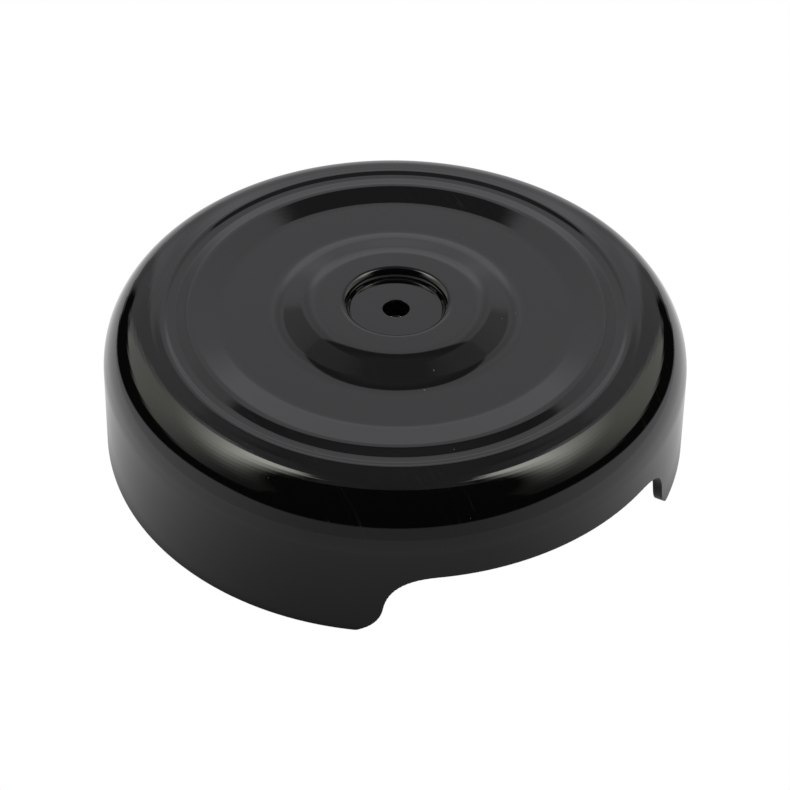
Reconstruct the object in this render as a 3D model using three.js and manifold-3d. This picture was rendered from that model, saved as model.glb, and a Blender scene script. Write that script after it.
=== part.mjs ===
// Round air filter housing for a small engine: a thick-walled lid with a sunk centre hole and
// a clearance notch in its skirt, over a pleated filter element on a base plate.
// Millimetres, +Z up. The lid stands on its mouth at z = 0, and the notch faces -Y.
import * as THREE from 'three';
import { mergeVertices } from 'three/addons/utils/BufferGeometryUtils.js';
import Module from 'manifold-3d';

const wasm = await Module();
wasm.setup();

// Lid
const MOUTH_R = 101.6; // 8 in across the mouth
const SKIRT_R = 99.4; // top of the tapered skirt
const SKIRT_TOP_Z = 28.1;
const LID_Z = 49.6; // crown of the shoulder
const SHOULDER_A = 27.7; // shoulder, radially
const SHOULDER_B = LID_Z - SKIRT_TOP_Z;
const SHOULDER_POWER = 2.47;
const WALL = 3.2;
const BEAD = [77.4, 49.4]; // radius and height of the fine bead inside the shoulder
const GROOVE = [74.2, 48.85];
const RIM = [69.3, 49.3]; // inner edge of the groove
const TROUGH = [59.3, 47.5]; // outer edge of the sunk ring
const FOOT = [40.8, 46.65]; // inner edge of the sunk ring
const CREST_R = 28.5;
const PLATEAU_Z = 50;
const RECESS_R = 17.3;
const RECESS_Z = 46.5;
const LID_HOLE_R = 4.53; // clears a 5/16 in screw
const NOTCH_TOP_Z = 23;
const NOTCH_HALF_DEG = 31.5;

// Base plate
const PLATE_R = 73.4;
const PLATE_Z = [2.5, 5.5];
const FLANGE_R = 36.5;
const THROAT_R = 22;
const FIX_CIRCLE_R = 31; // carburettor holes
const SCREW_CIRCLE_R = 33; // element screws
const BREATHER_X = 44;

// Filter element
const PLEATS = 48;
const PLEAT_R = [54.6, 69];
const PLEAT_Z = [10.5, 35.4];
const CAP_Z = 37.2; // underside of the top cap
const CAP_SHEET = 1.5;

const GAP = 0.3; // left between neighbours

const finish = (color, roughness, metalness) =>
  new THREE.MeshStandardMaterial({ color, roughness, metalness });
const gloss = finish(0x060606, 0.08, 0);
const castAlloy = finish(0x9a9c9e, 0.45, 1);
const steel = finish(0xb4b4b0, 0.35, 1);
const rubber = finish(0x161616, 0.8, 0);
const foam = finish(0x2c2c2e, 0.95, 0);
const cloth = finish(0x9c2226, 0.9, 0);
const urethane = finish(0x1b1b1d, 0.6, 0);

// Geometry helpers
const point = ([x, y]) => new THREE.Vector2(x, y);

function welded(geometry) {
  const bare = geometry.index ? geometry : geometry.clone();
  bare.deleteAttribute('normal');
  bare.deleteAttribute('uv');
  return mergeVertices(bare, 1e-4);
}

function toSolid(geometry) {
  const mesh = welded(geometry);
  return new wasm.Manifold(
    new wasm.Mesh({
      numProp: 3,
      vertProperties: new Float32Array(mesh.attributes.position.array),
      triVerts: new Uint32Array(mesh.index.array),
    }),
  );
}

function toGeometry(solid) {
  const { vertProperties, triVerts } = solid.getMesh();
  const geometry = new THREE.BufferGeometry();
  geometry.setAttribute('position', new THREE.BufferAttribute(vertProperties, 3));
  geometry.setIndex(new THREE.BufferAttribute(triVerts, 1));
  geometry.computeVertexNormals();
  return geometry;
}

// A ring turned about Z from a closed list of [radius, height], counter-clockwise.
function turned(profile, sides) {
  const loop = [...profile, profile[0]].map(point);
  return new THREE.LatheGeometry(loop, sides).rotateX(Math.PI / 2);
}

function upright(shape, z0, z1) {
  const depth = z1 - z0;
  const geometry = new THREE.ExtrudeGeometry(shape, { depth, bevelEnabled: false });
  return geometry.translate(0, 0, z0);
}

function tubeWall(r0, r1, z0, z1, sides) {
  return turned([[r0, z0], [r1, z0], [r1, z1], [r0, z1]], sides);
}

function rod(x, y, r, z0, z1, sides = 16) {
  const geometry = new THREE.CylinderGeometry(r, r, z1 - z0, sides);
  return geometry.rotateX(Math.PI / 2).translate(x, y, (z0 + z1) / 2);
}

function onCircle(radius, degrees) {
  const a = THREE.MathUtils.degToRad(degrees);
  return [radius * Math.cos(a), radius * Math.sin(a)];
}

const SCREWS = [90, 210, 330].map((degrees) => onCircle(SCREW_CIRCLE_R, degrees));
const FIX_HOLES = [30, 150, 270].map((degrees) => onCircle(FIX_CIRCLE_R, degrees));

const housing = new THREE.Group();

function addPiece(name, geometry, material, x = 0, y = 0) {
  const mesh = new THREE.Mesh(geometry, material);
  mesh.name = name;
  mesh.position.set(x, y, 0);
  housing.add(mesh);
}

// Lid
function shoulder(a, b, steps) {
  const points = [];
  for (let i = 1; i <= steps; i++) {
    const t = (i / steps) * (Math.PI / 2);
    const r = SKIRT_R - SHOULDER_A + a * Math.sin(t) ** (2 / SHOULDER_POWER);
    const z = SKIRT_TOP_Z + b * Math.cos(t) ** (2 / SHOULDER_POWER);
    points.push([r, z]);
  }
  return points;
}

function lidOutline() {
  const outside = [
    [LID_HOLE_R, RECESS_Z],
    [RECESS_R - 2, RECESS_Z],
    [RECESS_R - 1.2, RECESS_Z + 0.9],
    [RECESS_R - 0.7, PLATEAU_Z - 0.6],
    [RECESS_R, PLATEAU_Z],
    [CREST_R, PLATEAU_Z],
    [CREST_R + 2.4, PLATEAU_Z - 0.4],
    [FOOT[0] - 1.6, FOOT[1] + 0.35],
    [FOOT[0] + 0.6, FOOT[1]],
    TROUGH, RIM, GROOVE, BEAD,
    ...shoulder(SHOULDER_A, SHOULDER_B, 12).filter(([r]) => r > BEAD[0] + 0.8),
    [MOUTH_R, 0],
  ];
  const inside = [
    [MOUTH_R - WALL, 0],
    ...shoulder(SHOULDER_A - WALL, SHOULDER_B - WALL, 7).reverse(),
    [RIM[0], LID_Z - WALL - 0.1],
    [TROUGH[0], TROUGH[1] - WALL],
    [FOOT[0], FOOT[1] - WALL],
    [CREST_R - 0.6, PLATEAU_Z - WALL],
    [RECESS_R + 2.4, PLATEAU_Z - WALL],
    [RECESS_R + 1.4, RECESS_Z - WALL],
    [LID_HOLE_R, RECESS_Z - WALL],
  ];
  return [...outside, ...inside].reverse();
}

// The notch outline is drawn in degrees round the skirt by height, then spread out from the
// axis, so its two ends are cut square to the wall.
function notchCutter() {
  const end = new THREE.Path();
  end.moveTo(NOTCH_HALF_DEG + 7, -1);
  end.bezierCurveTo(33.6, 1.2, 31.9, 5.5, NOTCH_HALF_DEG, 10.5);
  end.bezierCurveTo(30.9, 17.5, 28.2, NOTCH_TOP_Z, 22, NOTCH_TOP_Z);
  const right = end.getPoints(7);
  const left = right.map(({ x, y }) => point([-x, y])).reverse();
  const outline = new THREE.Shape([...right, ...left]);
  const cutter = new THREE.ExtrudeGeometry(outline, { depth: 42, bevelEnabled: false });
  const position = cutter.attributes.position;
  for (let i = 0; i < position.count; i++) {
    const reach = 70 + position.getZ(i);
    const angle = THREE.MathUtils.degToRad(position.getX(i));
    position.setXYZ(i, reach * Math.tan(angle), -reach, position.getY(i));
  }
  return cutter;
}

const lid = toSolid(turned(lidOutline(), 64)).subtract(toSolid(notchCutter()));
addPiece('cover', toGeometry(lid), gloss);

// Centre fixing: the lid's screw goes down through the washer into the nut.
const WASHER_Z = RECESS_Z - WALL - GAP;
addPiece('cover_isolator', tubeWall(5.2, 11, 40.8, WASHER_Z, 24), rubber);
const nutOutline = [
  [3.3, 30], [6.4, 30], [6.4, 34.8], [10, 34.8], [10, CAP_Z - GAP], [6.8, CAP_Z - GAP],
  [6.8, 40.5], [3.3, 40.5],
];
addPiece('cover_nut', turned(nutOutline, 24), steel);

// Filter element
const capTop = CAP_Z + CAP_SHEET;
const capOutline = [
  [7.1, CAP_Z], [46, CAP_Z], [50, CAP_Z - 1.5], [70.3, CAP_Z - 1.5], [70.3, 31.5],
  [71.5, 31.5], [71.5, capTop - 2.2], [70.6, capTop - 1.5], [50.6, capTop - 1.5],
  [46.6, capTop], [7.1, capTop],
];
const topCap = SCREWS.reduce(
  (solid, [x, y]) => solid.subtract(toSolid(rod(x, y, 3.3, CAP_Z - 2, capTop + 2))),
  toSolid(turned(capOutline, 48)),
);
addPiece('top_cap', toGeometry(topCap), castAlloy);

function pleatedRing() {
  const fold = 0.55; // half the paper's thickness, across the fold
  const zigzag = (shift) => {
    const points = [];
    for (let i = 0; i < 2 * PLEATS; i++) {
      const r = i % 2 ? PLEAT_R[1] : PLEAT_R[0];
      points.push(point(onCircle(r + shift, (i * 180) / PLEATS)));
    }
    return points;
  };
  const shape = new THREE.Shape(zigzag(4 * fold - 2.2));
  shape.holes.push(new THREE.Path(zigzag(-4 * fold).reverse()));
  return upright(shape, PLEAT_Z[0], PLEAT_Z[1]);
}

addPiece('filter_media', pleatedRing(), cloth);
addPiece('outer_mesh', tubeWall(69.4, 70, PLEAT_Z[0], PLEAT_Z[1], 48), steel);
addPiece('inner_mesh', tubeWall(51.2, 51.8, PLEAT_Z[0], PLEAT_Z[1], 48), steel);
const bottomCapOutline = [
  [49.6, 7.6], [71.5, 7.6], [71.5, 14], [70.4, 14], [70.4, 10.2], [50.8, 10.2], [50.8, 14],
  [49.6, 14],
];
addPiece('bottom_cap', turned(bottomCapOutline, 48), urethane);
addPiece('element_seal', tubeWall(55, 68, PLATE_Z[1] + GAP, 7.3, 36), foam);

// Base plate: flange, disc, locating lip and ribs, with its holes
function basePlate() {
  const outline = [
    [THROAT_R, 0], [24.4, 0], [24.4, 1.8], [26.6, 1.8], [26.6, 0], [FLANGE_R, 0],
    [FLANGE_R, PLATE_Z[0]], [PLATE_R, PLATE_Z[0]], [PLATE_R, 8.5], [72.2, 8.5],
    [72, PLATE_Z[1]], [THROAT_R, PLATE_Z[1]],
  ];
  let plate = toSolid(turned(outline, 48));
  for (let i = 0; i < 6; i++) {
    const rib = new THREE.BoxGeometry(35.5, 3, 3).translate(FLANGE_R + 16.75, 0, 2.1);
    plate = plate.add(toSolid(rib.rotateZ(((2 * i + 1) * Math.PI) / 6)));
  }
  for (const [x, y] of [...SCREWS, ...FIX_HOLES]) {
    plate = plate.subtract(toSolid(rod(x, y, 3.2, -1, 7)));
  }
  for (const x of [-BREATHER_X, BREATHER_X]) {
    plate = plate.subtract(toSolid(rod(x, 0, 5, -1, 7)));
  }
  return plate;
}

addPiece('base_plate', toGeometry(basePlate()), castAlloy);

const bellOutline = [
  [20.9, 1], [21.7, 1], [21.7, 7], [22.4, 9.4], [23.9, 11.1], [26, 11.9], [26, 12.8],
  [23.6, 12.2], [21.7, 10.2], [20.9, 7.4],
];
addPiece('intake_bell', turned(bellOutline, 32), castAlloy);

const seal = new THREE.TorusGeometry(25.5, 0.75, 6, 32).translate(0, 0, 0.95);
addPiece('throat_seal', seal, rubber);

// Element screws, each with its washer and its spacer tube
const SCREW_HEAD_Z = 40.1;
const screwOutline = [
  [0, 0.8], [2.4, 0.8], [2.9, 1.4], [2.9, SCREW_HEAD_Z], [5.2, SCREW_HEAD_Z], [5.2, 42.3],
  [4.4, 43.1], [2.3, 43.1], [2.3, 41.2], [0, 41.2],
];
SCREWS.forEach(([x, y], i) => {
  const screw = new THREE.LatheGeometry(screwOutline.map(point), 12).rotateX(Math.PI / 2);
  addPiece(`element_screw_${i + 1}`, screw, steel, x, y);
  const washer = tubeWall(3.3, 6.4, capTop + GAP, SCREW_HEAD_Z - GAP, 16);
  addPiece(`element_washer_${i + 1}`, washer, steel, x, y);
  const spacer = tubeWall(3.4, 5.4, PLATE_Z[1] + GAP, CAP_Z - GAP, 16);
  addPiece(`spacer_${i + 1}`, spacer, castAlloy, x, y);
});

// Crankcase breathers: a grommet in the plate and a bent tube that ends over the throat
const grommetOutline = [
  [3, 0.6], [5, 0.6], [5, 0.9], [6.6, 0.9], [6.6, PLATE_Z[0] - GAP], [4.7, PLATE_Z[0] - GAP],
  [4.7, PLATE_Z[1] + GAP], [6.6, PLATE_Z[1] + GAP], [5.6, 7.6], [3, 7.6],
];

function breatherTube() {
  const bore = new THREE.Path().absarc(0, 0, 1.7, 0, 2 * Math.PI, true);
  const section = new THREE.Shape().absarc(0, 0, 2.6, 0, 2 * Math.PI, false);
  section.holes.push(bore);
  const path = new THREE.CurvePath();
  const corner = new THREE.Vector3(BREATHER_X, 0, 18.4);
  const start = new THREE.Vector3(BREATHER_X, 0, 1);
  const bendIn = corner.clone().add(new THREE.Vector3(0, 0, -6));
  const bendOut = corner.clone().add(new THREE.Vector3(-6, 0, 0));
  path.add(new THREE.LineCurve3(start, bendIn));
  path.add(new THREE.QuadraticBezierCurve3(bendIn, corner, bendOut));
  path.add(new THREE.LineCurve3(bendOut, new THREE.Vector3(24, 0, 18.4)));
  return new THREE.ExtrudeGeometry(section, { extrudePath: path, steps: 14, curveSegments: 5 });
}

for (const [side, turn] of [['right', 0], ['left', Math.PI]]) {
  const x = BREATHER_X * Math.cos(turn);
  addPiece(`breather_grommet_${side}`, turned(grommetOutline, 16), rubber, x);
  addPiece(`breather_tube_${side}`, breatherTube().rotateZ(turn), rubber);
}

export default housing;
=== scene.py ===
# %% [markdown]
# # A round air filter housing
#
# The housing is a gloss-black cast lid over a pleated filter element on a base plate. A packed
# CAD model gives every piece its place and size. This lesson gives each piece its real edges
# and finish, then sets up a plain white studio.

# %% Load the frame
import math

import bpy
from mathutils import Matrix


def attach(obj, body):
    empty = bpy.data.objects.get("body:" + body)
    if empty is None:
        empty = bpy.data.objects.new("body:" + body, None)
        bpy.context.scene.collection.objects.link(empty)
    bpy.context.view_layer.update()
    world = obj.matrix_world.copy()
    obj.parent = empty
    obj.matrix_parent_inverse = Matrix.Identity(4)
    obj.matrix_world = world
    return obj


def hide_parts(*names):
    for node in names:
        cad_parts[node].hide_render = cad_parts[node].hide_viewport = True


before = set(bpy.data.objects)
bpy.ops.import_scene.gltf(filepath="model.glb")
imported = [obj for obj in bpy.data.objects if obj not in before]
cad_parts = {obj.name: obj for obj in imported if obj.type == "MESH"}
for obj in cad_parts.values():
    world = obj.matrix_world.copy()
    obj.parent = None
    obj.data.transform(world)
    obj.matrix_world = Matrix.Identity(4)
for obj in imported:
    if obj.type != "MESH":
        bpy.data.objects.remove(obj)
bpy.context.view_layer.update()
MM = 0.001

# %% [markdown]
# ## Turning a section
#
# Most pieces here are round. A lathe or a round mould makes them in life, and the spin
# operator makes them here: half of the section is drawn corner by corner, each corner gets
# its small radius, and the section goes once round the axis.


# %% Section and spin helpers
def make_active(piece):
    bpy.ops.object.select_all(action="DESELECT")
    piece.select_set(True)
    bpy.context.view_layer.objects.active = piece


def start_edit(name):
    """A new one-vertex mesh at the origin, open in edit mode."""
    bpy.ops.object.select_all(action="DESELECT")
    bpy.ops.mesh.primitive_plane_add(size=1 * MM)
    piece = bpy.context.object
    piece.name = piece.data.name = name
    bpy.ops.object.mode_set(mode="EDIT")
    bpy.ops.mesh.select_mode(type="VERT")
    bpy.ops.mesh.select_all(action="SELECT")
    bpy.ops.mesh.merge(type="CENTER")
    return piece


def step_to(here, there):
    """Extrudes the selected vertex from one place to the next."""
    move = tuple(b - a for a, b in zip(here, there))
    bpy.ops.mesh.extrude_region_move(TRANSFORM_OT_translate={"value": move})


def draw_loop(places):
    """Draws a closed wire through the places, from a mesh with one vertex at the origin."""
    bpy.ops.transform.translate(value=places[0])
    for here, there in zip(places, places[1:]):
        step_to(here, there)
    bpy.ops.object.mode_set(mode="OBJECT")
    vertices = bpy.context.object.data.vertices
    for vertex in vertices:
        vertex.select = vertex.index in (0, len(vertices) - 1)
    bpy.ops.object.mode_set(mode="EDIT")
    bpy.ops.mesh.edge_face_add()


def select_vertices(piece, test):
    """Selects the vertices that pass the test, by their place in millimetres."""
    bpy.ops.object.mode_set(mode="OBJECT")
    for part in (piece.data.polygons, piece.data.edges):
        for item in part:
            item.select = False
    for vertex in piece.data.vertices:
        vertex.select = test(vertex.co / MM)
    bpy.ops.object.mode_set(mode="EDIT")


def round_corners(piece, corners):
    """Rounds each corner of the wire that has a radius, as (r, z, radius)."""
    for r, z, radius in (c for c in corners if c[2] > 0):
        select_vertices(piece, lambda p: math.hypot(p.x - r, p.z - z) < 1e-3)
        segments = 4 if radius < 1.5 else 10
        bpy.ops.mesh.bevel(affect="VERTICES", offset=radius * MM, segments=segments)


def with_holding_points(corners, margin=0.25):
    """Adds a point a little way from each rounded corner, which keeps flat faces flat."""
    points = []
    for here, there in zip(corners, corners[1:] + corners[:1]):
        points.append(here)
        length = math.dist(here[:2], there[:2])
        if length > here[2] + there[2] + 4 * margin:
            first = (here[2] + margin) / length
            last = 1 - (there[2] + margin) / length
            for t in (first, last):
                points.append((*(a + (b - a) * t for a, b in zip(here[:2], there[:2])), 0))
    return points


def turned(name, corners, steps=96):
    """A ring or knob turned about Z from the corners of half its section, in millimetres."""
    corners = with_holding_points([(*c, 0) if len(c) == 2 else c for c in corners])
    piece = start_edit(name)
    draw_loop([(r * MM, 0, z * MM) for r, z, _ in corners])
    round_corners(piece, corners)
    bpy.ops.mesh.select_all(action="SELECT")
    bpy.ops.mesh.spin(steps=steps, angle=2 * math.pi, center=(0, 0, 0), axis=(0, 0, 1))
    bpy.ops.mesh.select_all(action="SELECT")
    bpy.ops.mesh.remove_doubles(threshold=1e-6)
    bpy.ops.mesh.normals_make_consistent(inside=False)
    bpy.ops.object.mode_set(mode="OBJECT")
    print(name, "turned:", len(piece.data.polygons), "faces")
    return piece


def smooth(piece, degrees=32):
    make_active(piece)
    bpy.ops.object.shade_smooth_by_angle(angle=math.radians(degrees))


def settle(piece, body, node, material):
    """Smooths a finished piece and lets it stand for its CAD node."""
    smooth(piece)
    piece.data.materials.clear()
    piece.data.materials.append(material)
    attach(piece, body)
    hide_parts(node)


# %% [markdown]
# ## Node helpers
#
# Finishes and lights are both sums of simple node values. A few helpers write those sums in one
# line each: arithmetic, a soft step from one value to another, and cloudy noise.


# %% Node helpers
def calc(tree, operation, *values):
    """A Math node. Each value is a number or another node's output."""
    item = tree.nodes.new("ShaderNodeMath")
    item.operation = operation
    for socket, value in zip(item.inputs, values):
        if isinstance(value, (int, float)):
            socket.default_value = value
        else:
            tree.links.new(value, socket)
    return item.outputs[0]


def times(tree, first, *others):
    for other in others:
        first = calc(tree, "MULTIPLY", first, other)
    return first


def ramp(tree, value, low, high, start=0.0, end=1.0):
    """A smooth step from start to end while the value goes from low to high."""
    item = tree.nodes.new("ShaderNodeMapRange")
    item.interpolation_type = "SMOOTHSTEP"
    tree.links.new(value, item.inputs["Value"])
    for name, number in zip(("From Min", "From Max", "To Min", "To Max"), (low, high, start, end)):
        item.inputs[name].default_value = number
    return item.outputs["Result"]


def noise(tree, place, scale, detail=2.0):
    """Cloudy noise. The scale counts its waves in a metre."""
    item = tree.nodes.new("ShaderNodeTexNoise")
    item.inputs["Detail"].default_value = detail
    tree.links.new(place, item.inputs["Vector"])
    if isinstance(scale, (int, float)):
        item.inputs["Scale"].default_value = scale
    else:
        tree.links.new(scale, item.inputs["Scale"])
    return item.outputs[0]


def stretched(tree, place, scale, turn=(0.0, 0.0, 0.0)):
    """Turns and stretches the coordinates, so a pattern on them is drawn out into lines."""
    item = tree.nodes.new("ShaderNodeMapping")
    item.inputs["Rotation"].default_value = turn
    item.inputs["Scale"].default_value = scale
    tree.links.new(place, item.inputs["Vector"])
    return item.outputs["Vector"]


def height_and_radius(tree, place):
    """The height of a point and its distance from the housing's axis."""
    parts = tree.nodes.new("ShaderNodeSeparateXYZ")
    tree.links.new(place, parts.inputs[0])
    x, y, z = parts.outputs
    return z, calc(tree, "SQRT", calc(tree, "ADD", times(tree, x, x), times(tree, y, y)))


# %% [markdown]
# ## Shared effects
#
# Grain, dust, hairlines and edge wear turn up on more than one finish, so each is a node group
# that is built once. A group gives masks from 0 to 1, and each material decides what its
# colour, roughness and relief make of them.


# %% Shared effect groups
def new_group(name, inputs, outputs):
    group = bpy.data.node_groups.new(name, "ShaderNodeTree")
    for label, value in inputs.items():
        socket = group.interface.new_socket(
            label, in_out="INPUT", socket_type="NodeSocketFloat"
        )
        socket.default_value = value
    for label in outputs:
        group.interface.new_socket(label, in_out="OUTPUT", socket_type="NodeSocketFloat")
    place = group.nodes.new("ShaderNodeTexCoord").outputs["Object"]
    start = group.nodes.new("NodeGroupInput")
    end = group.nodes.new("NodeGroupOutput")
    return group, place, start.outputs, end.inputs


grain, place, given, result = new_group(
    "Grain", {"Grain scale": 1500.0, "Patch scale": 60.0}, ("Grain", "Patches")
)
grain.links.new(noise(grain, place, given["Grain scale"], 3.0), result["Grain"])
patches = noise(grain, place, given["Patch scale"], 3.0)
grain.links.new(ramp(grain, patches, 0.3, 0.7), result["Patches"])

dust, place, given, result = new_group("Dust", {"Cells": 160.0, "Amount": 0.3}, ("Specks",))
cells = dust.nodes.new("ShaderNodeTexVoronoi")
dust.links.new(place, cells.inputs["Vector"])
dust.links.new(given["Cells"], cells.inputs["Scale"])
chance = dust.nodes.new("ShaderNodeSeparateColor")
dust.links.new(cells.outputs["Color"], chance.inputs[0])
present = calc(dust, "LESS_THAN", chance.outputs[0], given["Amount"])
size = calc(dust, "MULTIPLY_ADD", chance.outputs[1], 0.035, 0.012)
spot = calc(dust, "LESS_THAN", cells.outputs["Distance"], size)
facing = dust.nodes.new("ShaderNodeNewGeometry")
upward = dust.nodes.new("ShaderNodeSeparateXYZ")
dust.links.new(facing.outputs["Normal"], upward.inputs[0])
settled = ramp(dust, upward.outputs[2], 0.15, 0.8)
dust.links.new(times(dust, present, spot, settled), result["Specks"])

hairlines, place, given, result = new_group(
    "Hairlines", {"Scale": 10.0, "Amount": 1.0}, ("Lines",)
)
lines = 0.0
for turn in (0.4, 1.7, 2.6):
    drawn = noise(hairlines, stretched(hairlines, place, (30, 1.2, 1.2), (0.2, 0.1, turn)),
                  given["Scale"], 1.0)
    near_half = calc(hairlines, "ABSOLUTE", calc(hairlines, "SUBTRACT", drawn, 0.5))
    line = ramp(hairlines, near_half, 0.0, 0.006, 1.0, 0.0)
    area = noise(hairlines, stretched(hairlines, place, (1, 1, 1), (0.5, turn, 0)), 28.0, 1.0)
    lines = calc(hairlines, "ADD", lines, times(hairlines, line, ramp(hairlines, area, 0.56, 0.66)))
hairlines.links.new(times(hairlines, lines, given["Amount"]), result["Lines"])

wear, place, given, result = new_group("Edge wear", {"Patch scale": 200.0}, ("Worn",))
shape = wear.nodes.new("ShaderNodeNewGeometry")
edge = ramp(wear, shape.outputs["Pointiness"], 0.52, 0.62)
rubbed = ramp(wear, noise(wear, place, given["Patch scale"]), 0.35, 0.6)
wear.links.new(times(wear, edge, rubbed), result["Worn"])
print("effect groups:", [group.name for group in bpy.data.node_groups])

# %% [markdown]
# ## Finishes
#
# A finish here is two colours, two roughnesses and a depth of relief. One mask says where the
# surface is light or dark, a second where it is glossy or dull, and a third is its relief.


# %% Building a finish
def use(tree, group, **values):
    """Places a shared effect in a material, with this material's own values."""
    item = tree.nodes.new("ShaderNodeGroup")
    item.node_tree = group
    for label, value in values.items():
        item.inputs[label.replace("_", " ")].default_value = value
    return item.outputs


def finish(name, masks, dark, light, gloss, depth, metallic=0.0):
    """A material. `masks` builds its tone, dullness and relief; `depth` is in millimetres."""
    material = bpy.data.materials.new(name)
    material.use_nodes = True
    tree = material.node_tree
    shader = tree.nodes["Principled BSDF"]
    shader.inputs["Metallic"].default_value = metallic
    place = tree.nodes.new("ShaderNodeTexCoord").outputs["Object"]
    tone, dullness, relief = masks(tree, place)
    color = tree.nodes.new("ShaderNodeMix")
    color.data_type = "RGBA"
    color.inputs[6].default_value = (*dark, 1)
    color.inputs[7].default_value = (*light, 1)
    tree.links.new(tone, color.inputs[0])
    tree.links.new(color.outputs[2], shader.inputs["Base Color"])
    low, high = gloss
    rough = calc(tree, "MULTIPLY_ADD", dullness, high - low, low)
    tree.links.new(rough, shader.inputs["Roughness"])
    bump = tree.nodes.new("ShaderNodeBump")
    bump.inputs["Strength"].default_value = 1.0
    bump.inputs["Distance"].default_value = depth * MM
    tree.links.new(relief, bump.inputs["Height"])
    tree.links.new(bump.outputs["Normal"], shader.inputs["Normal"])
    print("finish:", name, "with", len(tree.nodes), "nodes")
    return material


# %% [markdown]
# The lid has a deep black stove enamel with a hard gloss. It has nearly no colour of its own,
# so all that shows is what it reflects. What makes it real is small: the slow ripple of
# sprayed paint, a few dust specks, and hairlines from wiping.


# %% Gloss black
def enamel_masks(tree, place):
    surface = use(tree, grain, Grain_scale=650.0, Patch_scale=25.0)
    specks = use(tree, dust, Cells=150.0, Amount=0.22)["Specks"]
    lines = use(tree, hairlines, Scale=11.0, Amount=1.0)["Lines"]
    tone = calc(tree, "MAXIMUM", specks, times(tree, lines, 0.05))
    dullness = calc(tree, "ADD", times(tree, surface["Patches"], 0.04), times(tree, specks, 0.9))
    dullness = calc(tree, "ADD", dullness, times(tree, lines, 0.22))
    return tone, dullness, surface["Grain"]


gloss_black = finish(
    "Gloss black enamel", enamel_masks, (0.004, 0.004, 0.0038), (0.16, 0.155, 0.14),
    (0.03, 0.5), 0.003,
)

# %% [markdown]
# Bare metal comes in three kinds. Cast alloy is grainy from its mould. Zinc plate is smoother,
# with soft cloudy patches. Pressed sheet has faint rings where the die drew it. On all three
# the edges are rubbed brighter than the faces.


# %% Metals
def cast_masks(tree, place):
    surface = use(tree, grain, Grain_scale=1300.0, Patch_scale=70.0)
    worn = use(tree, wear, Patch_scale=260.0)["Worn"]
    tone = calc(tree, "ADD", times(tree, surface["Patches"], 0.6), times(tree, worn, 0.4))
    dull = calc(tree, "SUBTRACT", calc(tree, "ADD", times(tree, surface["Grain"], 0.9), 0.2),
                times(tree, worn, 0.5))
    return tone, dull, surface["Grain"]


def plated_masks(tree, place):
    surface = use(tree, grain, Grain_scale=2600.0, Patch_scale=160.0)
    worn = use(tree, wear, Patch_scale=420.0)["Worn"]
    tone = calc(tree, "ADD", times(tree, surface["Patches"], 0.7), times(tree, worn, 0.3))
    return tone, surface["Patches"], surface["Grain"]


def pressed_masks(tree, place):
    surface = use(tree, grain, Grain_scale=1800.0, Patch_scale=45.0)
    lines = use(tree, hairlines, Scale=14.0, Amount=1.0)["Lines"]
    worn = use(tree, wear, Patch_scale=300.0)["Worn"]
    _, radius = height_and_radius(tree, place)
    spun = tree.nodes.new("ShaderNodeCombineXYZ")
    tree.links.new(radius, spun.inputs[0])
    rings = noise(tree, spun.outputs[0], 2200.0, 2.0)
    tone = calc(tree, "ADD", times(tree, surface["Patches"], 0.5), times(tree, worn, 0.5))
    dull = calc(tree, "ADD", times(tree, rings, 0.8), times(tree, lines, 0.4))
    return tone, dull, calc(tree, "ADD", rings, times(tree, surface["Grain"], 0.6))


cast_alloy = finish(
    "Cast alloy", cast_masks, (0.5, 0.51, 0.52), (0.7, 0.7, 0.7), (0.3, 0.5), 0.06, 1.0
)
zinc_steel = finish(
    "Zinc plated steel", plated_masks, (0.58, 0.59, 0.6), (0.74, 0.73, 0.68), (0.22, 0.4),
    0.01, 1.0,
)
pressed_steel = finish(
    "Pressed and plated sheet", pressed_masks, (0.5, 0.5, 0.48), (0.68, 0.68, 0.65),
    (0.26, 0.48), 0.006, 1.0,
)

# %% [markdown]
# Rubber and urethane are moulded soft parts. Both are black and dull, with a fine skin and a
# greyer bloom in patches, and the urethane is a little smoother than the rubber.


# %% Rubber and urethane
def moulded_masks(tree, place):
    surface = use(tree, grain, Grain_scale=2400.0, Patch_scale=110.0)
    specks = use(tree, dust, Cells=420.0, Amount=0.35)["Specks"]
    tone = calc(tree, "MAXIMUM", times(tree, surface["Patches"], 0.25), specks)
    return tone, surface["Patches"], surface["Grain"]


black_rubber = finish(
    "Black rubber", moulded_masks, (0.012, 0.012, 0.013), (0.05, 0.048, 0.045), (0.56, 0.74),
    0.03,
)
urethane = finish(
    "Moulded urethane", moulded_masks, (0.009, 0.009, 0.011), (0.035, 0.034, 0.034),
    (0.42, 0.58), 0.015,
)


# %% [markdown]
# Open-cell foam is all holes. A Voronoi pattern gives each cell a raised rim and a dark middle, and
# that dark middle is painted shade in the cell's hollow.
# The gauze is a plain weave: threads that lie level cross threads that stand up. Its colour is
# painted lighter on the raised threads and darker between them, as painted shade, and the oil
# darkens it in patches.


# %% Foam and gauze
def foam_masks(tree, place):
    pores = tree.nodes.new("ShaderNodeTexVoronoi")
    pores.inputs["Scale"].default_value = 900.0
    tree.links.new(place, pores.inputs["Vector"])
    rim_and_pore_shade = ramp(tree, pores.outputs["Distance"], 0.15, 0.7)
    patches = use(tree, grain, Grain_scale=1500.0, Patch_scale=90.0)["Patches"]
    # The dark middle of each cell is painted shade in its hollow; the rim is raised in the relief
    # too.
    tone = calc(tree, "MULTIPLY", rim_and_pore_shade, calc(tree, "MULTIPLY_ADD", patches, 0.5, 0.5))
    return tone, rim_and_pore_shade, rim_and_pore_shade


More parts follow.
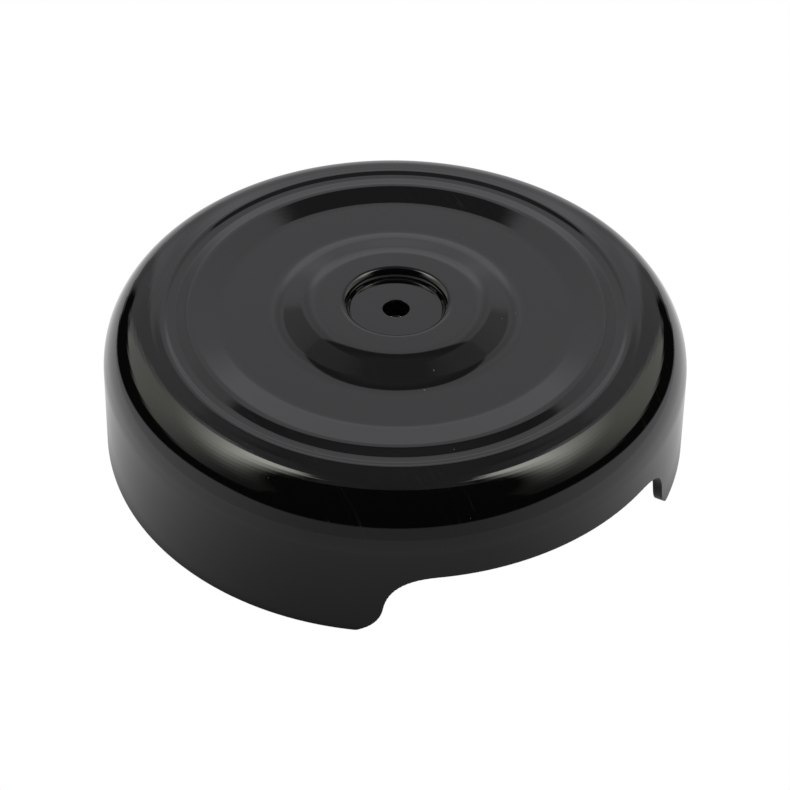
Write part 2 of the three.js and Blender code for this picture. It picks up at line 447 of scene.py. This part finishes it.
def gauze_masks(tree, place):
    threads_in_metre = 900.0
    surface = use(tree, grain, Grain_scale=2600.0, Patch_scale=80.0)
    height, radius = height_and_radius(tree, place)
    waves = []
    for along in (height, radius):
        turn = times(tree, along, threads_in_metre * 2 * math.pi)
        waves.append(calc(tree, "MULTIPLY_ADD", calc(tree, "SINE", turn), 0.5, 0.5))
    weave_and_gap_shade = calc(tree, "MAXIMUM", *waves)
    # Painted shade: the colour is darker in the gaps between the raised threads, where the relief
    # is low.
    tone = calc(tree, "ADD", times(tree, weave_and_gap_shade, 0.55), times(tree, surface["Patches"], 0.45))
    return tone, surface["Patches"], calc(tree, "ADD", weave_and_gap_shade, times(tree, surface["Grain"], 0.4))


open_foam = finish(
    "Open-cell foam", foam_masks, (0.008, 0.008, 0.009), (0.06, 0.06, 0.062), (0.85, 0.98), 0.3
)
oiled_gauze = finish(
    "Oiled cotton gauze", gauze_masks, (0.2, 0.008, 0.012), (0.5, 0.035, 0.035), (0.5, 0.85),
    0.12,
)

# %% [markdown]
# ## Cutting and copying
#
# Holes, slots and flats are machined or punched in life. Here a cutter of the right shape is
# taken away from the piece with a Boolean. What repeats is made once, at the place of the
# first one, and then copied with a mesh of its own.


# %% Cutting and copying helpers
def apply_modifier(piece, kind, **values):
    """Adds a modifier with these values and applies it."""
    modifier = piece.modifiers.new(kind.title(), kind)
    for name, value in values.items():
        setattr(modifier, name, value)
    make_active(piece)
    bpy.ops.object.modifier_apply(modifier=modifier.name)


def combine(piece, other, operation="DIFFERENCE"):
    """Takes the other shape away from the piece, or joins it on, and removes the other."""
    apply_modifier(piece, "BOOLEAN", operation=operation, solver="EXACT", object=other)
    bpy.data.objects.remove(other)


def bar(sides, radius, low, high, x=0.0, y=0.0):
    """An upright bar with a round or many-sided section, in millimetres."""
    bpy.ops.object.select_all(action="DESELECT")
    size = {"radius": radius * MM, "depth": (high - low) * MM}
    place = (x * MM, y * MM, (low + high) / 2 * MM)
    bpy.ops.mesh.primitive_cylinder_add(vertices=sides, location=place, **size)
    bpy.ops.object.transform_apply(location=True, rotation=True, scale=True)
    return bpy.context.object


def move_mesh(piece, x, y):
    make_active(piece)
    bpy.ops.transform.translate(value=(x * MM, y * MM, 0))
    bpy.ops.object.transform_apply(location=True, rotation=False, scale=False)


def copied(piece, name, turn):
    """A copy with a mesh of its own, turned about the housing's axis by some degrees."""
    make_active(piece)
    bpy.ops.object.duplicate(linked=False)
    twin = bpy.context.object
    twin.name = twin.data.name = name
    bpy.ops.object.mode_set(mode="EDIT")
    bpy.ops.mesh.select_all(action="SELECT")
    bpy.ops.transform.rotate(
        value=-math.radians(turn), orient_axis="Z", center_override=(0, 0, 0)
    )
    bpy.ops.object.mode_set(mode="OBJECT")
    return twin


def on_circle(radius, degrees):
    return radius * math.cos(math.radians(degrees)), radius * math.sin(math.radians(degrees))


THREE_WAYS = (90, 210, 330)
SCREW_CIRCLE = 33
BREATHER_X = 44

# %% [markdown]
# ## The lid
#
# The lid is one casting about 3 mm thick. From the middle out it has a sunk hole for the
# centre screw, a raised ring, a sunk ring, a crisp bead, and a full round shoulder that
# falls into a skirt which opens a little towards its mouth.

# %% Lid section
LID_WALL = 3.2
SHOULDER = {"r": 71.7, "z": 28.1, "a": 27.7, "b": 21.5, "power": 2.47}


def shoulder_curve(inset, steps, first=0.0):
    """Points of the shoulder from its crown to the skirt, as (r, z)."""
    points = []
    for i in range(steps + 1):
        t = first + (math.pi / 2 - first) * i / steps
        across = math.sin(t) ** (2 / SHOULDER["power"])
        down = math.cos(t) ** (2 / SHOULDER["power"]) if i < steps else 0
        r = SHOULDER["r"] + (SHOULDER["a"] - inset) * across
        points.append((r, SHOULDER["z"] + (SHOULDER["b"] - inset) * down))
    return points


lid_section = [
    (4.53, 46.5, 0.25),
    (15.6, 46.5, 0.3),
    (16.8, 50.0, 2.4),
    (28.9, 50.0, 3.0),
    (40.8, 46.65, 3.2),
    (59.3, 47.5, 1.2),
    (69.5, 49.34, 1.1),
    (73.9, 48.65, 0.4),
    (76.4, 48.9, 0.4),
    (78.2, 49.52, 0.7),
    *[p for p in shoulder_curve(0, 30, first=0.16) if p[0] > 79.6 and p[1] > 31.2],
    (101.6, 0, 0.5),
    (98.4, 0, 0.5),
    *reversed(shoulder_curve(LID_WALL, 12)),
    (69.3, 46.2, 3.0),
    (59.3, 44.3, 3.0),
    (40.6, 43.45, 2.5),
    (28.0, 46.8, 2.0),
    (19.6, 46.8, 1.0),
    (18.8, 43.3, 0.5),
    (4.53, 43.3, 0.2),
]
lid = turned("lid", lid_section, steps=192)

# %% [markdown]
# The notch clears the engine beside the lid. Its outline is drawn in degrees round the skirt
# by height. The cutter is that outline drawn at 70 mm from the axis and pushed out to 112 mm
# while it grows in the same ratio, so the two ends of the notch come out square to the wall.
# The left foot flares out a little further than the right one.

# %% Lid notch
NEAR, FAR = 70.0, 112.0


def bezier(p0, p1, p2, p3, steps):
    """Points along a curve from p0 to p3 that leaves towards p1 and arrives from p2."""
    points = []
    for i in range(steps + 1):
        t = i / steps
        weights = ((1 - t) ** 3, 3 * t * (1 - t) ** 2, 3 * t * t * (1 - t), t**3)
        ends = (p0, p1, p2, p3)
        points.append([sum(w * p[k] for w, p in zip(weights, ends)) for k in (0, 1)])
    return points


left_foot = bezier((38.5, -1), (33.6, 1.2), (31.9, 5.5), (31.5, 10.5), 12)
right_foot = bezier((36.6, -1), (33.0, 0.7), (31.9, 4.8), (31.5, 10.5), 12)
notch_top = bezier((31.5, 10.5), (30.9, 17.5), (28.2, 23), (22, 23), 14)[1:]
notch_outline = right_foot + notch_top
notch_outline += [(-degrees, z) for degrees, z in reversed(left_foot + notch_top)]

cutter = start_edit("notch_cutter")
draw_loop([
    (NEAR * math.tan(math.radians(degrees)) * MM, -NEAR * MM, z * MM)
    for degrees, z in notch_outline
])
bpy.ops.mesh.select_all(action="SELECT")
bpy.ops.mesh.edge_face_add()
bpy.ops.mesh.extrude_region_move(TRANSFORM_OT_translate={"value": (0, (NEAR - FAR) * MM, 0)})
bpy.ops.transform.resize(value=(FAR / NEAR, 1, 1), center_override=(0, 0, 0))
bpy.ops.mesh.select_all(action="SELECT")
bpy.ops.mesh.normals_make_consistent(inside=False)
bpy.ops.object.mode_set(mode="OBJECT")

combine(lid, cutter)
print("lid after the notch:", len(lid.data.polygons), "faces")
settle(lid, "lid", "cover", gloss_black)

# %% [markdown]
# ## The base plate
#
# The base is a casting that bolts to the carburettor. A turned disc gives the flange, the
# seal groove and the outer lip. Six ribs stiffen it underneath, and every hole is drilled.

# %% Base plate
PLATE_TOP = 5.5
base_section = [
    (22, 0, 0.3), (24.4, 0, 0.15), (24.4, 1.8), (26.6, 1.8), (26.6, 0, 0.15), (36.5, 0, 0.6),
    (36.5, 2.5, 0.5), (73.4, 2.5, 0.5), (73.4, 8.5, 0.3), (72.2, 8.5, 0.3),
    (72.0, PLATE_TOP, 0.4), (22, PLATE_TOP, 0.3),
]
base_plate = turned("plate", base_section, steps=144)
RIBS = 6
for i in range(RIBS):
    bpy.ops.object.select_all(action="DESELECT")
    bpy.ops.mesh.primitive_cube_add(size=1 * MM, location=(53.3 * MM, 0, 2.2 * MM))
    rib = bpy.context.object
    rib.scale = (36.0, 3, 3)
    bpy.ops.object.transform_apply(location=True, rotation=True, scale=True)
    apply_modifier(rib, "BEVEL", width=0.5 * MM, segments=3)
    bpy.ops.object.mode_set(mode="EDIT")
    bpy.ops.mesh.select_all(action="SELECT")
    turn = math.radians((i + 0.5) * 360 / RIBS)
    bpy.ops.transform.rotate(value=-turn, orient_axis="Z", center_override=(0, 0, 0))
    bpy.ops.object.mode_set(mode="OBJECT")
    combine(base_plate, rib, "UNION")
for degrees in THREE_WAYS:
    combine(base_plate, bar(40, 3.2, -1, 7, *on_circle(SCREW_CIRCLE, degrees)))
for degrees in (30, 150, 270):
    combine(base_plate, bar(40, 3.2, -1, 7, *on_circle(31, degrees)))
for x in (-BREATHER_X, BREATHER_X):
    combine(base_plate, bar(40, 5, -1, 7, x))
settle(base_plate, "base", "base_plate", cast_alloy)
print("base plate:", len(base_plate.data.polygons), "faces")

# %% [markdown]
# ## The air path
#
# A spun bell leads the air smoothly down into the throat, and an O-ring in the flange's
# groove seals the joint to the carburettor. Its top stands a little proud of the groove.

# %% Intake bell and throat seal
bell_section = [
    (20.9, 1, 0.3), (21.7, 1, 0.3), (21.7, 7, 2.5), (22.6, 9.8, 1.2), (24.1, 11.3, 1.2),
    (26, 11.9, 0.35), (26, 12.8, 0.35), (23.4, 12.2, 1.5), (21.5, 10.2, 1.5), (20.9, 7.4, 2),
]
intake_bell = turned("bell", bell_section, steps=128)
settle(intake_bell, "base", "intake_bell", cast_alloy)

bpy.ops.object.select_all(action="DESELECT")
bpy.ops.mesh.primitive_torus_add(
    major_radius=25.5 * MM, minor_radius=0.75 * MM, location=(0, 0, 0.95 * MM),
    major_segments=128, minor_segments=16,
)
bpy.ops.object.transform_apply(location=True, rotation=True, scale=True)
throat_seal = bpy.context.object
throat_seal.name = throat_seal.data.name = "o_ring"
settle(throat_seal, "base", "throat_seal", black_rubber)

# %% [markdown]
# ## The filter element
#
# The element is a ring of pleated, oiled gauze between two wire screens. Its bottom is cast
# into soft urethane, and a pressed cap closes its top and carries the fixings.

# %% Element caps and seal
bottom_section = [
    (49.6, 7.6, 0.6), (71.5, 7.6, 0.6), (71.5, 14, 0.45), (70.4, 14, 0.45),
    (70.4, 10.2, 0.4), (50.8, 10.2, 0.4), (50.8, 14, 0.45), (49.6, 14, 0.45),
]
bottom_cap = turned("element_foot", bottom_section, steps=144)
settle(bottom_cap, "base", "bottom_cap", urethane)

top_section = [
    (7.1, 37.2, 0.3), (46, 37.2, 1.2), (50, 35.7, 1.2), (70.3, 35.7, 1.0), (70.3, 31.5, 0.2),
    (71.5, 31.5, 0.2), (71.5, 37.2, 2.0), (50.6, 37.2, 1.4), (46.6, 38.7, 1.4),
    (7.1, 38.7, 0.3),
]
top_cap = turned("element_cap", top_section, steps=144)
for degrees in THREE_WAYS:
    combine(top_cap, bar(40, 3.3, 35, 41, *on_circle(SCREW_CIRCLE, degrees)))
settle(top_cap, "base", "top_cap", pressed_steel)

seal_section = [(55, 5.8, 0.5), (68, 5.8, 0.5), (68, 7.3, 0.5), (55, 7.3, 0.5)]
element_seal = turned("foam_ring", seal_section, steps=96)
settle(element_seal, "base", "element_seal", open_foam)

# %% [markdown]
# The gauze is folded to and fro. One fold takes ten points of a circle: each of the ten is
# moved in or out by its own share, which gives straight sides and small round tips.

# %% Pleated gauze
PLEATS, PER_PLEAT = 48, 10
GAUZE_THICK = 0.9
PLEAT_RADIUS, PLEAT_REACH = 60.7, 7.4
TIP_SHARPNESS = 0.97
bpy.ops.object.select_all(action="DESELECT")
bpy.ops.mesh.primitive_circle_add(vertices=PLEATS * PER_PLEAT, radius=PLEAT_RADIUS * MM)
gauze = bpy.context.object
gauze.name = gauze.data.name = "pleated_gauze"
bpy.ops.object.mode_set(mode="EDIT")
for step in range(PER_PLEAT):
    bpy.ops.object.mode_set(mode="OBJECT")
    for vertex in gauze.data.vertices:
        vertex.select = vertex.index % PER_PLEAT == step
    bpy.ops.object.mode_set(mode="EDIT")
    bend = math.asin(TIP_SHARPNESS * math.sin(2 * math.pi * step / PER_PLEAT))
    wave = bend / math.asin(TIP_SHARPNESS)
    share = 1 + PLEAT_REACH * wave / PLEAT_RADIUS
    bpy.ops.transform.resize(value=(share, share, 1), center_override=(0, 0, 0))
bpy.ops.mesh.select_all(action="SELECT")
bpy.ops.transform.translate(value=(0, 0, 10.7 * MM))
bpy.ops.mesh.extrude_region_move(TRANSFORM_OT_translate={"value": (0, 0, 24.5 * MM)})
bpy.ops.mesh.select_all(action="SELECT")
bpy.ops.mesh.normals_make_consistent(inside=False)
bpy.ops.object.mode_set(mode="OBJECT")
apply_modifier(gauze, "SOLIDIFY", thickness=GAUZE_THICK * MM, offset=0)
settle(gauze, "base", "filter_media", oiled_gauze)
print("gauze:", len(gauze.data.polygons), "faces in", PLEATS, "pleats")

# %% [markdown]
# Each screen is welded wire. A plain open cylinder is ruled into squares, and the wireframe
# modifier turns every edge of it into a wire. Wire by wire it would take hundreds of tubes.


# %% Wire screens
SCREEN_FOOT, SCREEN_HEIGHT, WIRE = 10.75, 24.4, 0.5


def wire_screen(name, radius, columns, rows):
    """An open cylinder of welded wire between the element's two caps."""
    middle = SCREEN_FOOT + SCREEN_HEIGHT / 2
    bpy.ops.object.select_all(action="DESELECT")
    bpy.ops.mesh.primitive_cylinder_add(
        vertices=columns, radius=radius * MM, depth=SCREEN_HEIGHT * MM,
        end_fill_type="NOTHING", location=(0, 0, middle * MM),
    )
    bpy.ops.object.transform_apply(location=True, rotation=True, scale=True)
    screen = bpy.context.object
    screen.name = screen.data.name = name
    bpy.ops.object.mode_set(mode="EDIT")
    for i in range(1, rows):
        bpy.ops.mesh.select_all(action="SELECT")
        level = (SCREEN_FOOT + SCREEN_HEIGHT * i / rows) * MM
        bpy.ops.mesh.bisect(plane_co=(0, 0, level), plane_no=(0, 0, 1))
    bpy.ops.object.mode_set(mode="OBJECT")
    apply_modifier(screen, "WIREFRAME", thickness=WIRE * MM, use_boundary=True)
    print(name + ":", len(screen.data.polygons), "faces")
    return screen


outer_screen = wire_screen("wire_screen_outer", 69.7, 132, 7)
settle(outer_screen, "base", "outer_mesh", zinc_steel)
inner_screen = wire_screen("wire_screen_inner", 51.5, 96, 7)
settle(inner_screen, "base", "inner_mesh", zinc_steel)

# %% [markdown]
# ## Fixings
#
# Three cap screws pass through the top cap and its spacer tubes into the base. A hexagon
# socket takes the key. Only the lowest turns of thread show, so they are plain grooves.

# %% Element screws
thread = [(2.9 if i % 2 else 2.45, 1.6 + 0.4 * i) for i in range(1, 14)]
screw_section = [
    (0.02, 0.8), (2.3, 0.8, 0.1), *thread, (2.9, 7.2), (2.9, 40.1), (5.2, 40.1, 0.25),
    (5.2, 43.1, 0.6), (0.02, 43.1),
]
screw = turned("cap_screw_1", screw_section, steps=48)
combine(screw, bar(6, 2.45, 41.0, 44))
washer = turned("flat_washer_1", [
    (3.3, 39.0, 0.1), (6.4, 39.0, 0.25), (6.4, 39.8, 0.25), (3.3, 39.8, 0.1),
], steps=48)
spacer = turned("spacer_tube_1", [
    (3.4, 5.8, 0.2), (5.4, 5.8, 0.3), (5.4, 36.9, 0.3), (3.4, 36.9, 0.2),
], steps=48)
for fixing in (screw, washer, spacer):
    move_mesh(fixing, *on_circle(SCREW_CIRCLE, 90))

for number, turn in ((2, 120), (3, 240)):
    for first, node, slot, finish in (
        (screw, "element_screw", "zinc_steel", zinc_steel),
        (washer, "element_washer", "zinc_steel", zinc_steel),
        (spacer, "spacer", "cast_alloy", cast_alloy),
    ):
        twin = copied(first, first.name[:-1] + str(number), turn)
        settle(twin, "base", f"{node}_{number}", finish)
settle(screw, "base", "element_screw_1", zinc_steel)
settle(washer, "base", "element_washer_1", zinc_steel)
settle(spacer, "base", "spacer_1", cast_alloy)

# %% [markdown]
# The lid's centre screw goes into a sleeve nut. Its hexagon is a round bar cut by a six-sided
# one, which leaves the chamfers a turned nut has. A rubber washer keeps the lid from rattling.

# %% Sleeve nut and lid washer
nut = turned("sleeve_nut", [
    (3.3, 30, 0.3), (6.4, 30, 0.9), (6.4, 35.2, 0), (3.3, 35.2, 0),
], steps=72)
combine(nut, bar(6, 6.45, 29, 36), "INTERSECT")
collar = turned("collar", [
    (3.3, 34.8, 0), (10, 34.8, 0.4), (10, 36.9, 0.4), (6.8, 36.9, 0.3), (6.8, 40.5, 0.5),
    (3.3, 40.5, 0.4),
], steps=72)
combine(nut, collar, "UNION")
settle(nut, "base", "cover_nut", zinc_steel)

lid_washer = turned("lid_washer", [
    (5.2, 40.8, 0.4), (11, 40.8, 0.7), (11, 43.0, 0.7), (5.2, 43.0, 0.4),
], steps=72)
settle(lid_washer, "base", "cover_isolator", black_rubber)

# %% [markdown]
# ## Breathers
#
# Two short rubber elbows bring the crankcase's oil mist to the throat. Each is an open tube
# drawn from a circle: straight up, round a quarter turn, and in. Solidify gives it a wall.

# %% Breather grommets and tubes
grommet = turned("grommet_right", [
    (3, 0.6, 0.3), (5, 0.6, 0.15), (5, 0.9), (6.6, 0.9, 0.3), (6.6, 2.2, 0.3), (4.7, 2.2),
    (4.7, 5.8), (6.6, 5.8, 0.4), (5.6, 7.6, 0.5), (3, 7.6, 0.4),
], steps=48)
move_mesh(grommet, BREATHER_X, 0)

BEND = 6
bpy.ops.object.select_all(action="DESELECT")
foot = (BREATHER_X * MM, 0, 1 * MM)
bpy.ops.mesh.primitive_circle_add(vertices=28, radius=2.6 * MM, location=foot)
bpy.ops.object.transform_apply(location=True, rotation=True, scale=True)
elbow = bpy.context.object
elbow.name = elbow.data.name = "elbow_right"
bpy.ops.object.mode_set(mode="EDIT")
bpy.ops.mesh.select_all(action="SELECT")
bpy.ops.mesh.extrude_region_move(TRANSFORM_OT_translate={"value": (0, 0, 11.4 * MM)})
bpy.ops.mesh.spin(
    steps=12, angle=math.pi / 2, axis=(0, -1, 0),
    center=((BREATHER_X - BEND) * MM, 0, 12.4 * MM),
)
bpy.ops.mesh.extrude_region_move(TRANSFORM_OT_translate={"value": (-14 * MM, 0, 0)})
bpy.ops.mesh.select_all(action="SELECT")
bpy.ops.mesh.normals_make_consistent(inside=False)
bpy.ops.object.mode_set(mode="OBJECT")
apply_modifier(elbow, "SOLIDIFY", thickness=0.9 * MM, offset=-1)
print("elbow:", len(elbow.data.polygons), "faces, box", elbow.dimensions)

for first, node in ((grommet, "breather_grommet"), (elbow, "breather_tube")):
    twin = copied(first, first.name.replace("right", "left"), 180)
    settle(twin, "base", node + "_left", black_rubber)
    settle(first, "base", node + "_right", black_rubber)

# %% [markdown]
# ## Studio
#
# Gloss black shows only reflections, so the light is a large soft window behind the object
# and above it, with a dim ceiling and a dark side behind the camera. What the camera sees
# directly is plain white.

# %% Camera
LENS = 69.7
AIM_TILT = math.radians(0.83)
camera_data = bpy.data.cameras.new("Camera")
camera_data.lens = LENS
camera_data.shift_x = 0.0005
camera_data.shift_y = 0.0187
camera = bpy.data.objects.new("Camera", camera_data)
bpy.context.collection.objects.link(camera)
camera.location = (-0.2010, -0.3482, 0.3713)
aim = (-camera.location).to_track_quat("-Z", "Y")
camera.rotation_euler = aim.to_euler()
camera.rotation_euler.rotate_axis("Z", AIM_TILT)
bpy.context.scene.camera = camera

# %% [markdown]
# The studio is drawn by direction. Height is the angle above the horizon, and swing is the
# angle round from straight behind the object, the same to the left and to the right. Each
# lamp or board is a patch in those two angles, so its edges can be placed to the degree.

# %% Studio helpers
BEHIND = math.radians(30)  # turns the scene so that +Y points straight away from the camera


def band(tree, value, low, high, soft):
    rise = ramp(tree, value, low - soft, low + soft)
    return times(tree, rise, ramp(tree, value, high - soft, high + soft, 1.0, 0.0))


def curve(tree, value, stops):
    """Straight lines through (input, output) pairs, with outputs up to 2."""
    item = tree.nodes.new("ShaderNodeValToRGB")
    low, high = stops[0][0], stops[-1][0]
    scaled = ramp(tree, value, low, high)
    scaled.node.interpolation_type = "LINEAR"
    tree.links.new(scaled, item.inputs[0])
    points = item.color_ramp.elements
    while len(points) < len(stops):
        points.new(0.5)
    for point, (place, level) in zip(points, stops):
        point.position = (place - low) / (high - low)
    for point, (place, level) in zip(points, stops):
        point.color = (level / 2, level / 2, level / 2, 1)
    return times(tree, item.outputs["Color"], 2.0)


def studio_angles(tree, socket):
    """Splits a direction into its height and swing in degrees, and its ahead and up parts."""
    turn = tree.nodes.new("ShaderNodeMapping")
    turn.inputs["Rotation"].default_value = (0, 0, BEHIND)
    tree.links.new(socket, turn.inputs["Vector"])
    parts = tree.nodes.new("ShaderNodeSeparateXYZ")
    tree.links.new(turn.outputs["Vector"], parts.inputs[0])
    right, ahead, up = parts.outputs
    height = calc(tree, "DEGREES", calc(tree, "ARCSINE", up))
    swing = calc(tree, "DEGREES", calc(tree, "ARCTAN2", right, ahead))
    return height, calc(tree, "ABSOLUTE", swing), ahead, up


def board_light(tree, swing):
    """Brightness of the white paper all round: brightest at the sides. On the floor it is painted
    light.
    """
    to_side = ramp(tree, swing, 15, 62, 0.6, 1.25)
    return times(tree, to_side, ramp(tree, swing, 75, 165, 1.0, 0.38))


def seen_white(tree, shader, output):
    """Shows plain white to the camera and the given shader to every other ray."""
    on_surface = output.type == "OUTPUT_MATERIAL"
    white = tree.nodes.new("ShaderNodeEmission" if on_surface else "ShaderNodeBackground")
    white.inputs["Color"].default_value = (1, 1, 1, 1)
    path = tree.nodes.new("ShaderNodeLightPath")
    mix = tree.nodes.new("ShaderNodeMixShader")
    tree.links.new(path.outputs["Is Camera Ray"], mix.inputs[0])
    tree.links.new(shader.outputs[0], mix.inputs[1])
    tree.links.new(white.outputs[0], mix.inputs[2])
    tree.links.new(mix.outputs[0], output.inputs["Surface"])


# %% World
world = bpy.data.worlds.new("Studio")
bpy.context.scene.world = world
world.use_nodes = True
tree = world.node_tree
tree.nodes.clear()
coords = tree.nodes.new("ShaderNodeTexCoord")
height, swing, ahead, up = studio_angles(tree, coords.outputs["Generated"])

# The back wall: white paper low down and a soft panel above it, up to 51 degrees. The panel
# has a bright middle, straight behind the object, and flatter light to each side of it.
middle = curve(tree, height, [
    (-12, 0.55), (7, 0.52), (12, 0.6), (16, 0.8), (20, 1.0), (29, 1.42), (33, 1.05), (51, 1.12),
])
flat = curve(tree, height, [
    (-12, 0.5), (9, 0.52), (13, 0.7), (22, 0.86), (31, 0.92), (42, 1.04), (51, 0.98),
])
aside = ramp(tree, swing, 9, 24)
in_middle = times(tree, middle, ramp(tree, aside, 0, 1, 1, 0))
wall = calc(tree, "ADD", in_middle, times(tree, flat, aside))
wall = times(tree, wall, ramp(tree, swing, 26, 29, 1.0, 0.64))
gap = times(tree, ramp(tree, swing, 33, 37), band(tree, height, 3, 15, 2.0))
wall = times(tree, wall, ramp(tree, gap, 0, 1, 1, 0))
wall_top = ramp(tree, height, 50, 52, 1.0, 0.0)
wall = times(tree, wall, wall_top, ramp(tree, swing, 40, 43, 1.0, 0.0))

# Two tall soft boxes, one at each side, each with its lamp near the top.
low_edge = calc(tree, "MULTIPLY_ADD", swing, 0.3, 6.0)
high_edge = calc(tree, "MULTIPLY_ADD", swing, -0.23, 87.5)
above = calc(tree, "SUBTRACT", height, low_edge)
below = calc(tree, "SUBTRACT", height, high_edge)
box = times(tree, band(tree, swing, 41.5, 122, 3.0), ramp(tree, above, -2, 2))
box = times(tree, box, ramp(tree, below, -1, 1, 1, 0))
rise = times(tree, calc(tree, "MAXIMUM", calc(tree, "SUBTRACT", height, 45.0), 0.0), 0.112)
lamp = times(tree, calc(tree, "MULTIPLY_ADD", rise, rise, 1.0), ramp(tree, below, -15, 0, 1, 0))
boxes = times(tree, box, lamp, ramp(tree, swing, 52, 118, 1.5, 0.12))

# A dim ceiling that stops just past overhead, and low white boards at the sides and in front.
over = ramp(tree, calc(tree, "MULTIPLY_ADD", up, -0.105, ahead), -0.012, 0.012)
side_glow = times(tree, ramp(tree, swing, 22, 30), ramp(tree, height, 52, 74, 0.3, 0.03))
roof = calc(tree, "ADD", ramp(tree, height, 54, 64, 0.17, 0.27), side_glow)
ceiling = times(tree, over, ramp(tree, height, 50, 52), roof, ramp(tree, box, 0, 1, 1, 0))
board_top = ramp(tree, swing, 38, 124, 0.0, 26.0)
under_top = ramp(tree, calc(tree, "SUBTRACT", height, board_top), -1.5, 1.5, 1.0, 0.0)
boards = times(tree, under_top, board_light(tree, swing), ramp(tree, swing, 34, 46))
glow = calc(tree, "ADD", calc(tree, "ADD", wall, boxes), calc(tree, "ADD", ceiling, boards))

# The soft boxes' light is a little greener than the paper's.
tint = tree.nodes.new("ShaderNodeMix")
tint.data_type = "RGBA"
tint.inputs[6].default_value = (0.79, 0.8, 0.825, 1)
tint.inputs[7].default_value = (0.81, 0.82, 0.74, 1)
tree.links.new(box, tint.inputs[0])

studio = tree.nodes.new("ShaderNodeBackground")
tree.links.new(tint.outputs[2], studio.inputs["Color"])
tree.links.new(glow, studio.inputs["Strength"])
seen_white(tree, studio, tree.nodes.new("ShaderNodeOutputWorld"))

# %% Floor
bpy.ops.object.select_all(action="DESELECT")
bpy.ops.mesh.primitive_plane_add(size=8, location=(0, 0, -0.0002))
floor = bpy.context.object
floor.name = "floor"
paper = bpy.data.materials.new("White paper")
paper.use_nodes = True
tree = paper.node_tree
output = tree.nodes["Material Output"]
tree.nodes.remove(tree.nodes["Principled BSDF"])
coords = tree.nodes.new("ShaderNodeTexCoord")
_, swing, _, _ = studio_angles(tree, coords.outputs["Object"])
reach = tree.nodes.new("ShaderNodeVectorMath")
reach.operation = "LENGTH"
tree.links.new(coords.outputs["Object"], reach.inputs[0])
# The floor glows for every ray but the camera's. The glow is painted light, brightest at the sides,
# with a painted shade of the lid near its mouth, by the distance from the axis in metres.
painted_lid_shade = curve(tree, reach.outputs["Value"], [
    (0.08, 0.05), (0.1, 0.3), (0.105, 0.55), (0.16, 1.0),
])
# Painted light and shade: the floor's glow is brighter at the sides and darkened under the lid's
# mouth.
glow = tree.nodes.new("ShaderNodeEmission")
tree.links.new(times(tree, board_light(tree, swing), painted_lid_shade), glow.inputs["Strength"])
seen_white(tree, glow, output)
floor.data.materials.append(paper)

bpy.context.scene.view_settings.view_transform = "Standard"
